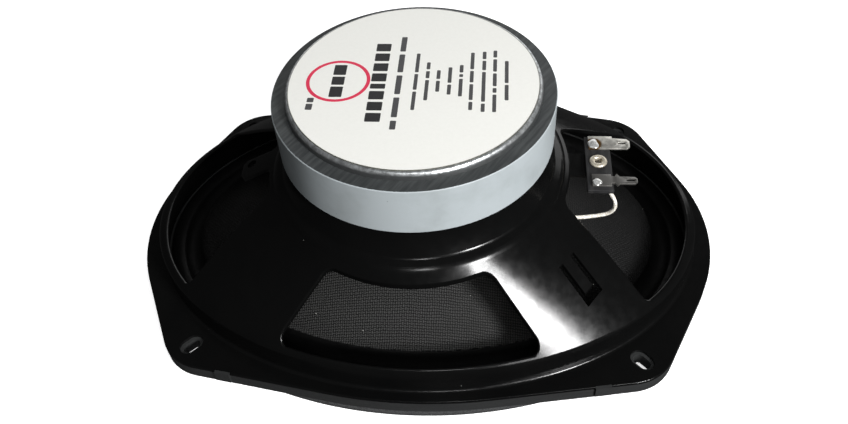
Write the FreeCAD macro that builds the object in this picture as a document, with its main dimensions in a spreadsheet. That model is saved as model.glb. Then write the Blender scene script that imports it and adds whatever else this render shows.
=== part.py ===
import FreeCAD, Part
import math
import os
import Sketcher

# Oval coaxial car loudspeaker lying face down: +Z points from the front rim to the magnet, +X runs
# along the long axis towards the terminals, and the origin is the middle of the surface it rests on.
# Lengths are millimetres.

V = FreeCAD.Vector

DIMENSIONS = {
    # flange outline: end arc, straight flank, ear arc, straight side, side arc
    "half_length": 118.6,
    "half_width": 83.0,
    "end_arc_radius": 70.0,
    "flank_normal_angle": 26.3,
    "ear_arc_radius": 19.0,
    "side_arc_radius": 180.0,
    "side_normal_angle": 80.33,
    # heights of the main planes above the surface
    "rear_face_z": 9.0,
    "gasket_height": 2.5,
    "shoulder_z": 20.2,
    "ledge_edge_z": 50.0,
    "ledge_crown_z": 51.7,
    "ledge_root_z": 53.0,
    "magnet_front_z": 65.5,
    "magnet_rear_z": 85.2,
    "yoke_rear_z": 88.4,
    # pressed basket
    "sheet_gauge": 1.2,
    "oval_half_length": 110.8,
    "oval_half_width": 78.2,
    "ledge_edge_radius": 56.7,
    "ledge_crown_radius": 54.9,
    "neck_root_radius": 52.4,
    "neck_waist_radius": 50.1,
    "neck_top_radius": 49.0,
    "hub_hole_radius": 40.0,
    # rounded edges of the basket
    "shoulder_round": 2.5,
    "foot_round": 1.3,
    "flange_round": 0.4,
    "neck_root_round": 1.5,
    "end_lip_round": 1.1,
    "side_lip_round": 0.7,
    # windows and spokes
    "spoke_angle": 38.0,
    "side_window_offset": 23.4,
    "terminal_window_offset": 18.5,
    "spare_window_offset": 20.6,
    "end_window_root_radius": 58.6,
    "side_window_root_radius": 59.0,
    "end_window_reach": 106.2,
    "side_window_reach": 76.3,
    "window_root_corner": 5.0,
    "window_tip_corner": 2.4,
    "tab_root_corner": 2.0,
    # fixing slots
    "slot_x": 85.4,
    "slot_y": 61.8,
    "slot_overall": 9.4,
    "slot_breadth": 6.6,
    "ring_slot_step": 1.2,
    # trim ring and gasket
    "ring_opening_half_length": 105.4,
    "ring_opening_half_width": 72.6,
    "clip_length": 6.0,
    "clip_reach": 0.9,
    "clip_overlap": 0.45,
    "clip_height": 0.65,
    "gasket_outer_half_length": 117.0,
    "gasket_outer_half_width": 83.7,
    "gasket_inner_half_length": 107.0,
    "gasket_inner_half_width": 74.2,
    # magnet system
    "magnet_radius": 51.4,
    "magnet_hole_radius": 27.0,
    "magnet_bevel": 0.3,
    "yoke_radius": 46.2,
    "pole_radius": 12.3,
    "pole_tip_z": 58.8,
    "plate_radius": 47.0,
    "plate_front_z": 59.3,
    "plate_hole_radius": 13.9,
    "label_radius": 44.9,
    "label_gauge": 0.3,
    # moving parts
    "coil_inner_radius": 12.7,
    "coil_wall": 0.3,
    "coil_outer_radius": 13.5,
    "cone_neck_z": 43.0,
    "cone_rim_z": 10.2,
    "cone_half_length": 92.0,
    "cone_half_width": 60.0,
    "cone_gauge": 0.9,
    "surround_mid_half_length": 99.0,
    "surround_mid_half_width": 66.2,
    "roll_radius": 4.6,
    "surround_gauge": 0.7,
    "spider_seat_z": 50.2,
    # tweeter pod
    "post_radius": 6.5,
    "pod_rear_z": 24.0,
    "pod_front_z": 9.0,
    "dome_x": -14.0,
    "dome_radius": 13.0,
    "horn_x": 23.5,
    # terminals
    "tab_z": 48.8,
    "board_gauge": 1.6,
    "blade_gauge": 0.8,
    # braided lead
    "lead_diameter": 1.5,
}

doc = FreeCAD.newDocument("coaxial_speaker")
dims = doc.addObject("Spreadsheet::Sheet", "dims")
for row, (alias, number) in enumerate(DIMENSIONS.items(), start=1):
    dims.set(f"A{row}", alias)
    dims.set(f"B{row}", str(number))
    dims.setAlias(f"B{row}", alias)
doc.recompute()


class Sizes:
    """The sheet's cells as attributes, in millimetres and degrees."""

    def __getattr__(self, alias):
        return float(dims.get(alias))


size = Sizes()
nodes = []

# ---------------------------------------------------------------------------------------------
# helpers
# ---------------------------------------------------------------------------------------------


def start_body(name):
    """A PartDesign body that becomes the node of that name."""
    body = doc.addObject("PartDesign::Body", name)
    nodes.append(body)
    return body


def add_sketch(body, name, geometry, role="XY_Plane", lift="0"):
    """A sketch on one of the body's own origin planes, lifted along the plane's normal."""
    plane = next(f for f in body.Origin.OriginFeatures if f.Role == role)
    sketch = body.newObject("Sketcher::SketchObject", name)
    sketch.AttachmentSupport = [(plane, "")]
    sketch.MapMode = "FlatFace"
    sketch.setExpression("AttachmentOffset.Base.z", lift)
    sketch.addGeometry(geometry, False)
    return sketch


def pad(body, name, geometry, lift, length):
    feature = body.newObject("PartDesign::Pad", name)
    feature.Profile = add_sketch(body, name + "_sketch", geometry, lift=lift)
    feature.setExpression("Length", length)
    return feature


def pocket(body, name, geometry, lift, length, upward=True):
    """Cuts from the lifted sketch plane, towards +Z when upward."""
    before = shape_volume(body)
    feature = body.newObject("PartDesign::Pocket", name)
    feature.Profile = add_sketch(body, name + "_sketch", geometry, lift=lift)
    feature.Reversed = upward
    feature.setExpression("Length", length)
    if shape_volume(body) >= before:
        raise RuntimeError(name + " cuts nothing")
    return feature


def shape_volume(body):
    doc.recompute()
    return body.Shape.Volume


def revolve(body, name, outline):
    """Turns a closed outline, drawn in radius and height, about the body's Z axis."""
    feature = body.newObject("PartDesign::Revolution", name)
    sketch = add_sketch(body, name + "_sketch", outline, role="XZ_Plane")
    feature.Profile = sketch
    feature.ReferenceAxis = (sketch, ["V_Axis"])
    feature.Angle = 360
    return feature


def turned_body(name, profile, x=0.0):
    """A node that is one turned piece about a vertical axis at x."""
    body = start_body(name)
    revolve(body, name + "_turning", polygon(profile))
    body.Placement = FreeCAD.Placement(V(x, 0, 0), FreeCAD.Rotation())
    return body


def polygon(points):
    """Line segments through (a, b) points, closed."""
    corners = [V(a, b, 0) for a, b in points]
    return [Part.LineSegment(a, b) for a, b in zip(corners, corners[1:] + corners[:1])]


def circle(radius, x=0.0, y=0.0):
    return Part.Circle(V(x, y, 0), V(0, 0, 1), radius)


def ellipse(half_length, half_width):
    return Part.Ellipse(V(0, 0, 0), half_length, half_width)


def arc(start, middle, end):
    return Part.Arc(V(*start, 0), V(*middle, 0), V(*end, 0))


def bulged(start, end, bulge):
    """Arc whose middle stands off its chord, to the left of the way from start to end."""
    chord = V(end[0] - start[0], end[1] - start[1], 0)
    left = V(-chord.y, chord.x, 0).normalize()
    middle = (start[0] + chord.x / 2 + left.x * bulge, start[1] + chord.y / 2 + left.y * bulge)
    return arc(start, middle, end)


def segment(start, end):
    return Part.LineSegment(V(*start, 0), V(*end, 0))


def as_face(geometry):
    edges = [g.toShape() for g in geometry]
    return Part.Face(Part.Wire(Part.__sortEdges__(edges)))


def as_geometry(wire):
    """A wire of lines and arcs as geometry for a sketch."""
    geometry = []
    for edge in wire.OrderedEdges:
        first, last = edge.FirstParameter, edge.LastParameter
        ends = edge.valueAt(first), edge.valueAt(last)
        if edge.Curve.TypeId == "Part::GeomLine":
            geometry.append(Part.LineSegment(*ends))
        else:
            middle = edge.valueAt((first + last) / 2)
            geometry.append(Part.Arc(ends[0], middle, ends[1]))
    return geometry


def rounded(geometry, radius):
    """The same outline with its outward corners rounded to the radius."""
    inner = as_face(geometry).makeOffset2D(-radius)
    outer = inner.makeOffset2D(radius)
    return as_geometry(outer.Wires[0])


def rectangle(x_low, x_high, y_low, y_high):
    return polygon([(x_low, y_low), (x_high, y_low), (x_high, y_high), (x_low, y_high)])


def turned_slot(x, y, overall, breadth, degrees):
    """A round-ended slot centred at x, y, its length along the given direction."""
    half_run = (overall - breadth) / 2
    along = V(math.cos(math.radians(degrees)), math.sin(math.radians(degrees)), 0)
    across = V(-along.y, along.x, 0)
    centre = V(x, y, 0)
    side = across * (breadth / 2)
    far, near = centre + along * half_run, centre - along * half_run
    tip = along * (breadth / 2)
    return [
        Part.LineSegment(near - side, far - side),
        Part.Arc(far - side, far + tip, far + side),
        Part.LineSegment(far + side, near + side),
        Part.Arc(near + side, near - tip, near - side),
    ]


def quarters(geometry_for):
    """Geometry for each of the four (x sign, y sign) quarters, in one list."""
    return [g for sx in (1, -1) for sy in (1, -1) for g in geometry_for(sx, sy)]


# ---------------------------------------------------------------------------------------------
# shared outlines
# ---------------------------------------------------------------------------------------------


def flange_outline(inset=0.0):
    """Outline of the flange and of the ring under it, from four mirrored quarters of tangent
    arcs and straights, moved inwards by the inset."""
    flank = math.radians(size.flank_normal_angle)
    side = math.radians(size.side_normal_angle)
    end_centre = V(size.half_length - size.end_arc_radius, 0, 0)
    side_centre = V(0, size.half_width - size.side_arc_radius, 0)
    flank_normal = V(math.cos(flank), math.sin(flank), 0)
    side_normal = V(math.cos(side), math.sin(side), 0)
    # the ear's centre lies one ear radius inside both straights
    flank_reach = end_centre.dot(flank_normal) + size.end_arc_radius - size.ear_arc_radius
    side_reach = side_centre.dot(side_normal) + size.side_arc_radius - size.ear_arc_radius
    determinant = flank_normal.x * side_normal.y - flank_normal.y * side_normal.x
    ear_centre = V(
        (flank_reach * side_normal.y - side_reach * flank_normal.y) / determinant,
        (flank_normal.x * side_reach - side_normal.x * flank_reach) / determinant,
        0,
    )
    end_radius = size.end_arc_radius - inset
    ear_radius = size.ear_arc_radius - inset
    side_radius = size.side_arc_radius - inset
    middle_normal = V(math.cos((flank + side) / 2), math.sin((flank + side) / 2), 0)
    end_corner = end_centre + flank_normal * end_radius
    ear_start = ear_centre + flank_normal * ear_radius
    ear_middle = ear_centre + middle_normal * ear_radius
    ear_end = ear_centre + side_normal * ear_radius
    side_corner = side_centre + side_normal * side_radius
    end_tip = V(size.half_length - inset, 0, 0)
    side_tip = V(0, size.half_width - inset, 0)

    def place(point, sx, sy):
        return V(point.x * sx, point.y * sy, 0)

    outline = []
    for sx in (1, -1):
        for sy in (1, -1):
            outline.append(Part.LineSegment(place(end_corner, sx, sy), place(ear_start, sx, sy)))
            outline.append(
                Part.Arc(place(ear_start, sx, sy), place(ear_middle, sx, sy), place(ear_end, sx, sy))
            )
            outline.append(Part.LineSegment(place(ear_end, sx, sy), place(side_corner, sx, sy)))
        outline.append(Part.Arc(place(end_corner, sx, 1), place(end_tip, sx, 1), place(end_corner, sx, -1)))
    for sy in (1, -1):
        side_ends = place(side_corner, 1, sy), place(side_corner, -1, sy)
        outline.append(Part.Arc(side_ends[0], place(side_tip, 1, sy), side_ends[1]))
    return outline


def fixing_slot(sx, sy):
    """One corner's slot, pointing at the middle of the speaker."""
    return turned_slot(sx * size.slot_x, sy * size.slot_y, size.slot_overall, size.slot_breadth, sx * sy * 45)


def ring_slot(sx, sy):
    """The ring's own slot, stepped in from the flange's."""
    step = 2 * size.ring_slot_step
    overall, breadth = size.slot_overall - step, size.slot_breadth - step
    return turned_slot(sx * size.slot_x, sy * size.slot_y, overall, breadth, sx * sy * 45)


def spoke_line_point(run, offset):
    """A point run along a spoke from the axis and offset across it, in the +X -Y quarter."""
    turn = math.radians(size.spoke_angle)
    x = run * math.cos(turn) + offset * math.sin(turn)
    y = -run * math.sin(turn) + offset * math.cos(turn)
    return x, y


def spoke_meets_circle(radius, offset):
    return spoke_line_point(math.sqrt(radius**2 - offset**2), offset)


def spoke_meets_oval(half_length, half_width, offset):
    """Where the spoke's edge crosses an oval, by halving the interval."""
    low, high = 40.0, 130.0
    for _ in range(40):
        run = (low + high) / 2
        x, y = spoke_line_point(run, offset)
        inside = (x / half_length) ** 2 + (y / half_width) ** 2 < 1
        low, high = (run, high) if inside else (low, run)
    return spoke_line_point(low, offset)


def end_window(side, offset):
    """Window on the +X (side 1) or -X (side -1) end, its edges offset from the spokes' middles."""
    root = spoke_meets_circle(size.end_window_root_radius, offset)
    tip = spoke_meets_oval(size.end_window_reach, size.side_window_reach, offset)
    root_x, root_y = root[0] * side, -root[1]
    tip_x, tip_y = tip[0] * side, -tip[1]
    return [
        arc((root_x, -root_y), (size.end_window_root_radius * side, 0), (root_x, root_y)),
        segment((root_x, root_y), (tip_x, tip_y)),
        arc((tip_x, tip_y), (size.end_window_reach * side, 0), (tip_x, -tip_y)),
        segment((tip_x, -tip_y), (root_x, -root_y)),
    ]


def side_window(side):
    """Window between the spokes on the +Y (side 1) or -Y (side -1) side."""
    root = spoke_meets_circle(size.side_window_root_radius, -size.side_window_offset)
    tip = spoke_meets_oval(size.end_window_reach, size.side_window_reach, -size.side_window_offset)
    root_x, root_y = root[0], -root[1] * side
    tip_x, tip_y = tip[0], -tip[1] * side
    return [
        arc((-root_x, root_y), (0, size.side_window_root_radius * side), (root_x, root_y)),
        segment((root_x, root_y), (tip_x, tip_y)),
        arc((tip_x, tip_y), (0, size.side_window_reach * side), (-tip_x, tip_y)),
        segment((-tip_x, tip_y), (-root_x, root_y)),
    ]


def spare_tab():
    """Sloping tongue left in the -X window."""
    root_x = -size.end_window_root_radius + 4
    tip_x = -72.5
    low, high = -5.8, 6.3
    return polygon([
        (root_x, low), (root_x, high), (tip_x + 1.6, high),
        (tip_x, high - 2.2), (tip_x + 0.3, low + 3.6), (tip_x + 2.7, low),
    ])


# ---------------------------------------------------------------------------------------------
# chassis: basket and the rings in front of it
# ---------------------------------------------------------------------------------------------


def loft(body, name, kind, wide, wide_lift, narrow_radius, narrow_lift):
    """Straight-sided loft from an oval up to a circle."""
    feature = body.newObject(kind, name)
    feature.Profile = add_sketch(body, name + "_oval", [ellipse(*wide)], lift=wide_lift)
    feature.Sections = [add_sketch(body, name + "_circle", [circle(narrow_radius)], lift=narrow_lift)]
    feature.Ruled = True
    return feature


def make_basket():
    gauge = size.sheet_gauge
    oval = (size.oval_half_length, size.oval_half_width)
    body = start_body("basket")
    pad(body, "flange", flange_outline(), "dims.rear_face_z - dims.sheet_gauge", "dims.sheet_gauge")
    pad(body, "foot", [ellipse(*oval)], "dims.rear_face_z - dims.sheet_gauge",
        "dims.shoulder_z - dims.rear_face_z + dims.sheet_gauge")
    loft(body, "dish", "PartDesign::AdditiveLoft", oval, "dims.shoulder_z",
         size.ledge_edge_radius, "dims.ledge_edge_z")
    revolve(body, "neck", neck_outline())
    round_pressed_edges(body)
    hollow_out(body, oval[0] - gauge, oval[1] - gauge)
    pocket(body, "hub_hole", [circle(size.hub_hole_radius)], "dims.ledge_edge_z", "40")
    cut_windows(body)
    pocket(body, "fixing_slots", quarters(fixing_slot), "0", "dims.shoulder_z")
    pocket(body, "tongue_slots", tongue_slots(), "dims.rear_face_z + 6", "30")
    pocket(body, "clip_recesses", quarters(clip_recess), "dims.rear_face_z - dims.clip_height - 0.05", "1")
    rivet_circle = [circle(RIVET_HOLE_RADIUS, *rivet_place(i)) for i in range(4)]
    pocket(body, "rivet_holes", rivet_circle, "dims.ledge_root_z", "20")
    pad(body, "terminal_tab", level_tab(), "dims.tab_z - dims.sheet_gauge", "dims.sheet_gauge")
    tab_holes = [circle(EYELET_SHANK_RADIUS + 0.1, *EYELET), circle(SPARE_HOLE_RADIUS, *SPARE_HOLE)]
    pocket(body, "tab_holes", tab_holes, "20", "40")


def neck_outline():
    """Section of the ledge and of the hollow-sided neck above it, filled to the axis."""
    below = size.ledge_edge_z - 4
    top = size.magnet_front_z
    start = (size.ledge_edge_radius - 4, below)
    edge = (size.ledge_edge_radius, size.ledge_edge_z)
    crown = (size.ledge_crown_radius, size.ledge_crown_z)
    root = (size.neck_root_radius, size.ledge_root_z)
    rim = (size.neck_top_radius, top - 1.0)
    waist = (size.neck_waist_radius, (root[1] + rim[1]) / 2)
    seat = (size.neck_top_radius - 1.0, top)
    return [
        segment((0, below), start),
        segment(start, edge),
        bulged(edge, crown, -0.13),
        segment(crown, root),
        arc(root, waist, rim),
        segment(rim, seat),
        segment(seat, (0, top)),
        segment((0, top), (0, below)),
    ]


def round_pressed_edges(body):
    """Rounds the bends of the pressing while it is still solid."""
    round_level_edges(body, "shoulder", size.shoulder_z, "dims.shoulder_round")
    round_level_edges(body, "foot_bend", size.rear_face_z, "dims.foot_round")
    round_level_edges(body, "neck_root", size.ledge_root_z, "dims.neck_root_round")
    round_level_edges(body, "flange_edge", size.rear_face_z, "dims.flange_round", all_round=False)


def round_level_edges(body, name, height, radius, all_round=True):
    """Fillet of the level edges at that height: the ones that run all round, or the shorter ones."""
    doc.recompute()
    names = []
    for index, edge in enumerate(body.Shape.Edges, start=1):
        box = edge.BoundBox
        level = abs(box.ZMin - height) < 1e-4 and abs(box.ZMax - height) < 1e-4
        if level and (edge.Length > 100) == all_round:
            names.append(f"Edge{index}")
    round_edges(body, name, names, radius)


def round_edges(body, name, names, radius):
    base = body.Tip
    fillet = body.newObject("PartDesign::Fillet", name)
    fillet.Base = (base, names)
    fillet.setExpression("Radius", radius)
    doc.recompute()
    if not fillet.isValid():
        raise RuntimeError(name + " can't be rounded on " + ", ".join(names))


def hollow_out(body, half_length, half_width):
    """Leaves the pressing one gauge thick, with a level seat for the spider under the ledge."""
    gauge = size.sheet_gauge
    seat = size.spider_seat_z
    hub_front = size.magnet_front_z - gauge
    inner_oval = (half_length, half_width)
    pocket(body, "inside_of_foot", [ellipse(*inner_oval)], "0", "dims.shoulder_z - 0.7")
    loft(body, "inside_of_dish", "PartDesign::SubtractiveLoft", inner_oval, "dims.shoulder_z - 0.7",
         size.ledge_edge_radius - gauge, "dims.ledge_edge_z - 0.8")
    cavity = body.newObject("PartDesign::Groove", "inside_of_neck")
    cavity.Profile = add_sketch(body, "inside_of_neck_sketch", polygon([
        (0, size.ledge_edge_z - 6),
        (size.ledge_edge_radius - 2.2, size.ledge_edge_z - 6),
        (size.ledge_edge_radius - 2.2, seat),
        (size.neck_root_radius - gauge - 0.4, seat),
        (size.neck_top_radius - gauge, hub_front),
        (0, hub_front),
    ]), role="XZ_Plane")
    cavity.ReferenceAxis = (cavity.Profile[0], ["V_Axis"])
    cavity.Angle = 360


def cut_windows(body):
    outlines = {
        "terminal_window": window_outline(end_window(1, size.terminal_window_offset)),
        "spare_window": spare_window(),
        "left_window": window_outline(side_window(1)),
        "right_window": window_outline(side_window(-1)),
    }
    for name, outline in outlines.items():
        pocket(body, name, outline, "dims.rear_face_z", "45")
    round_edges(body, "end_window_lips", window_edges(body, at_end=True), "dims.end_lip_round")
    round_edges(body, "side_window_lips", window_edges(body, at_end=False), "dims.side_lip_round")


def spare_window():
    """The -X window's outline, which leaves the tab standing with small corners at its root."""
    sharp = end_window(-1, size.spare_window_offset)
    around_tab = as_geometry(as_face(sharp).cut(as_face(spare_tab())).Wires[0])
    shape = as_face(rounded(around_tab, size.tab_root_corner)).common(as_face(window_outline(sharp)))
    return as_geometry(shape.removeSplitter().Wires[0])


def window_outline(geometry):
    """The outline with wide corners beside the ledge and tighter ones near the shoulder."""
    wide = as_face(rounded(geometry, size.window_root_corner))
    tight = as_face(rounded(geometry, size.window_tip_corner))
    root_corners = tight.cut(wide).common(as_face([circle(WINDOW_MIDDLE_RADIUS)]))
    return as_geometry(tight.cut(root_corners).Wires[0])


def window_edges(body, at_end):
    """Edges on the rear skin of the dish, where the end or the side windows are cut through it."""
    doc.recompute()
    spoke_slope = math.tan(math.radians(size.spoke_angle))
    names = []
    for index, edge in enumerate(body.Shape.Edges, start=1):
        middle = edge.valueAt((edge.FirstParameter + edge.LastParameter) / 2)
        on_dish = size.shoulder_z + 1.5 < middle.z < size.ledge_edge_z - 0.9
        beyond_spokes = abs(middle.x) * spoke_slope > abs(middle.y)
        if beyond_spokes != at_end or not on_dish:
            continue
        if abs(middle.z - dish_height(middle.x, middle.y)) < 0.05:
            names.append(f"Edge{index}")
    return names


def dish_height(x, y):
    """Height of the dish's rear skin over a point, by halving the interval."""
    low, high = 0.0, 1.0
    for _ in range(30):
        share = (low + high) / 2
        half_length = size.oval_half_length + (size.ledge_edge_radius - size.oval_half_length) * share
        half_width = size.oval_half_width + (size.ledge_edge_radius - size.oval_half_width) * share
        inside = (x / half_length) ** 2 + (y / half_width) ** 2 < 1
        low, high = (share, high) if inside else (low, share)
    return size.shoulder_z + (size.ledge_edge_z - size.shoulder_z) * low


WINDOW_MIDDLE_RADIUS = 71.0
EYELET = (69.1, 0.0)
EYELET_SHANK_RADIUS = 2.0
SPARE_HOLE = (-68.2, 2.4)
SPARE_HOLE_RADIUS = 1.9
RIVET_CIRCLE_RADIUS = 43.4
RIVET_HOLE_RADIUS = 1.55


def level_tab():
    """Tongue bent level in the +X window, where the terminal board is riveted."""
    return rounded(rectangle(55.0, 74.4, -6.0, 6.0), 2.0)


def tongue_slots():
    """U-shaped cut round a small tongue on one spoke: two long slots joined at their outer end."""
    near, far = 69.3, 83.3
    low, high = -2.1, 6.5
    slot = 2.1
    corners = [
        (near, low), (far, low), (far, high), (near, high),
        (near, high - slot), (far - 3.2, high - slot), (far - 3.2, low + slot), (near, low + slot),
    ]
    return polygon([spoke_line_point(run, offset) for run, offset in corners])


def rivet_place(index):
    turn = math.radians(45 + 90 * index)
    return RIVET_CIRCLE_RADIUS * math.cos(turn), RIVET_CIRCLE_RADIUS * math.sin(turn)


def make_trim_ring():
    """Moulded ring under the flange, rebated for the surround's lip, with clips over the edge."""
    body = start_body("trim_ring")
    ring_top = "dims.rear_face_z - dims.sheet_gauge"
    opening = ellipse(size.ring_opening_half_length, size.ring_opening_half_width)
    pad(body, "ring", flange_outline() + [opening], "dims.gasket_height", ring_top + " - dims.gasket_height")
    rebate = ellipse(size.ring_opening_half_length + 4.8, size.ring_opening_half_width + 4.3)
    pocket(body, "lip_rebate", [rebate], ring_top + " - 0.8", "0.8")
    pocket(body, "slots_through", quarters(ring_slot), "0", ring_top)
    pad(body, "clip_foot", quarters(clip_foot), "4", ring_top + " - 4")
    pad(body, "clip_leg", quarters(clip_leg), "4", "dims.rear_face_z - 4")
    pad(body, "clip_hook", quarters(clip_hook), "dims.rear_face_z - dims.clip_height", "dims.clip_height")


def clip_foot(sx, sy):
    """Root of a clip, merging with the ring's outer side."""
    return clip_outline(sx, sy, -0.6, size.clip_reach)


def clip_leg(sx, sy):
    """Upright of a clip, standing just outside the flange's long side."""
    return clip_outline(sx, sy, 0.05, size.clip_reach)


def clip_hook(sx, sy):
    """Top of a clip, turned over into the flange's recess."""
    return clip_outline(sx, sy, -size.clip_overlap, size.clip_reach)


def clip_recess(sx, sy):
    """Recess in the flange's edge that lets a clip lie flush."""
    return clip_outline(sx, sy, -size.clip_overlap - 0.1, 1.0, 0.1)


def clip_outline(sx, sy, inner, outer, margin=0.0):
    """Rectangle beside the flange's straight side, between two distances from its edge."""
    side = math.radians(size.side_normal_angle)
    normal = V(math.cos(side), math.sin(side), 0)
    along = V(normal.y, -normal.x, 0)
    side_centre = V(0, size.half_width - size.side_arc_radius, 0)
    reach = side_centre.dot(normal) + size.side_arc_radius
    middle = along * CLIP_RUN
    half = size.clip_length / 2 + margin
    corners = []
    for run, offset in ((-half, inner), (half, inner), (half, outer), (-half, outer)):
        point = middle + along * run + normal * (reach + offset)
        corners.append((point.x * sx, point.y * sy))
    return polygon(corners)


CLIP_RUN = 57.2


def make_front_gasket():
    body = start_body("front_gasket")
    outer = ellipse(size.gasket_outer_half_length, size.gasket_outer_half_width)
    inner = ellipse(size.gasket_inner_half_length, size.gasket_inner_half_width)
    pad(body, "gasket", [outer, inner], "0", "dims.gasket_height")


# ---------------------------------------------------------------------------------------------
# magnet system
# ---------------------------------------------------------------------------------------------


def make_magnet_system():
    front, rear = size.magnet_front_z, size.magnet_rear_z
    bevel = size.magnet_bevel
    turned_body("ferrite_magnet", [
        (size.magnet_hole_radius, front),
        (size.magnet_radius - bevel, front),
        (size.magnet_radius, front + bevel),
        (size.magnet_radius, rear - bevel),
        (size.magnet_radius - bevel, rear),
        (size.magnet_hole_radius, rear),
    ])
    make_yoke(rear)
    make_top_plate(front)
    turned_body("rear_label", [
        (0, size.yoke_rear_z),
        (size.label_radius, size.yoke_rear_z),
        (size.label_radius, size.yoke_rear_z + size.label_gauge),
        (0, size.yoke_rear_z + size.label_gauge),
    ])
    body = start_body("plate_rivets")
    heads = [circle(2.8, *rivet_place(i)) for i in range(4)]
    shanks = [circle(RIVET_HOLE_RADIUS - 0.05, *rivet_place(i)) for i in range(4)]
    pad(body, "rivet_heads", heads, "dims.plate_front_z - 0.9", "0.9")
    pad(body, "rivet_shanks", shanks, "dims.plate_front_z - 0.5",
        "dims.magnet_front_z - dims.plate_front_z + 0.4")


BOLT_RADIUS = 3.0
BORE_RADIUS = 3.2


def make_yoke(rear):
    """Back plate with a rounded edge, bored pole, and a pocket for the bolt's head."""
    edge = size.yoke_radius
    top = size.yoke_rear_z
    turned_body("yoke", [
        (BORE_RADIUS, size.pole_tip_z),
        (size.pole_radius - 0.6, size.pole_tip_z),
        (size.pole_radius, size.pole_tip_z + 0.6),
        (size.pole_radius, rear - 2.0),
        (size.pole_radius + 2.0, rear),
        (edge, rear),
        (edge, top - 1.8),
        (edge - 0.4, top - 0.7),
        (edge - 1.3, top),
        (7.0, top),
        (7.0, top - 2.4),
        (BORE_RADIUS, top - 2.4),
    ])
    body = start_body("post_bolt")
    hexagon = [(5.5 * math.cos(math.radians(60 * i)), 5.5 * math.sin(math.radians(60 * i))) for i in range(6)]
    pad(body, "bolt_head", polygon(hexagon), "dims.yoke_rear_z - 2.4", "2.2")
    pad(body, "bolt_shank", [circle(BOLT_RADIUS)], "dims.cone_neck_z",
        "dims.yoke_rear_z - dims.cone_neck_z - 2")


def make_top_plate(front):
    """Pole plate in front of the hub flat, its raised middle passing through the hub hole."""
    hub_front = front - size.sheet_gauge
    boss = size.hub_hole_radius - 0.1
    turned_body("top_plate", [
        (size.plate_hole_radius, size.plate_front_z),
        (size.plate_radius - 0.6, size.plate_front_z),
        (size.plate_radius, size.plate_front_z + 0.6),
        (size.plate_radius, hub_front),
        (boss, hub_front),
        (boss, front),
        (size.plate_hole_radius, front),
    ])
    plate = nodes[-1]
    holes = [circle(RIVET_HOLE_RADIUS, *rivet_place(i)) for i in range(4)]
    pocket(plate, "plate_rivet_holes", holes, "dims.plate_front_z - 1", "10")


# ---------------------------------------------------------------------------------------------
# cone, suspension and voice coil
# ---------------------------------------------------------------------------------------------


def make_cone():
    """Woven cone: an oval dish from the rim up to the coil, with a flat lip at each end."""
    rim = (size.cone_half_length, size.cone_half_width)
    neck = size.coil_inner_radius + size.coil_wall
    body = start_body("cone")
    loft(body, "cone_outside", "PartDesign::AdditiveLoft", rim, "dims.cone_rim_z",
         neck + CONE_NECK_SPREAD, "dims.cone_neck_z")
    lip = (rim[0] + CONE_LIP, rim[1] + CONE_LIP)
    pad(body, "cone_lip", [ellipse(*lip)], "dims.cone_rim_z - dims.cone_gauge", "dims.cone_gauge")
    inside = (rim[0] - 2.2, rim[1] - 1.4)
    pocket(body, "lip_opening", [ellipse(*inside)], "0", "dims.cone_rim_z")
    loft(body, "cone_inside", "PartDesign::SubtractiveLoft", inside, "dims.cone_rim_z",
         neck + 1.0, "dims.cone_neck_z - dims.cone_gauge")
    pocket(body, "neck_hole", [circle(neck + 0.02)], "dims.cone_rim_z", "50")


CONE_LIP = 3.2
CONE_NECK_SPREAD = 2.6


def make_surround():
    """Half-roll surround between the cone's lip and the flange, with a flat lip on each side."""
    body = start_body("surround")
    roll = size.roll_radius
    gauge = size.surround_gauge
    top = size.rear_face_z - size.sheet_gauge
    inner_top = size.cone_rim_z - size.cone_gauge
    middle = size.surround_mid_half_length
    floor = top - gauge
    lip = 2.6
    seat_end = middle + roll + 2 * lip
    profile = [
        segment((middle - roll - lip, inner_top), (middle - roll, inner_top)),
        segment((middle - roll, inner_top), (middle - roll + gauge, top)),
        arc((middle - roll + gauge, top), (middle, top - roll + gauge), (middle + roll - gauge, top)),
        segment((middle + roll - gauge, top), (seat_end, top)),
        segment((seat_end, top), (seat_end, floor)),
        segment((seat_end, floor), (middle + roll, floor)),
        arc((middle + roll, floor), (middle, floor - roll + 0.05), (middle - roll, floor)),
        segment((middle - roll, floor), (middle - roll - lip, inner_top - gauge)),
        segment((middle - roll - lip, inner_top - gauge), (middle - roll - lip, inner_top)),
    ]
    path = add_sketch(body, "surround_path", [ellipse(middle, size.surround_mid_half_width)], lift="0")
    section = add_sketch(body, "surround_section", profile, role="XZ_Plane")
    pipe = body.newObject("PartDesign::AdditivePipe", "surround_roll")
    pipe.Profile = section
    pipe.Spine = (path, ["Edge1"])


def make_spider():
    """Corrugated cloth disc between the coil former and the seat under the ledge."""
    top = size.spider_seat_z
    gauge = 0.5
    inner = size.coil_inner_radius + size.coil_wall + 0.05
    roll_start, roll_end = 18.0, 48.0
    rolls = 6
    depth = 1.1
    steps = 8 * rolls
    upper = [(inner, top), (roll_start, top)]
    for i in range(1, steps):
        share = i / steps
        drop = depth * math.sin(2 * math.pi * rolls * share)
        upper.append((roll_start + share * (roll_end - roll_start), top - 1.2 + drop))
    upper += [(roll_end + 1.0, top), (size.ledge_edge_radius - 2.6, top)]
    lower = [(radius, height - gauge) for radius, height in reversed(upper)]
    turned_body("spider", upper + lower)


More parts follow.
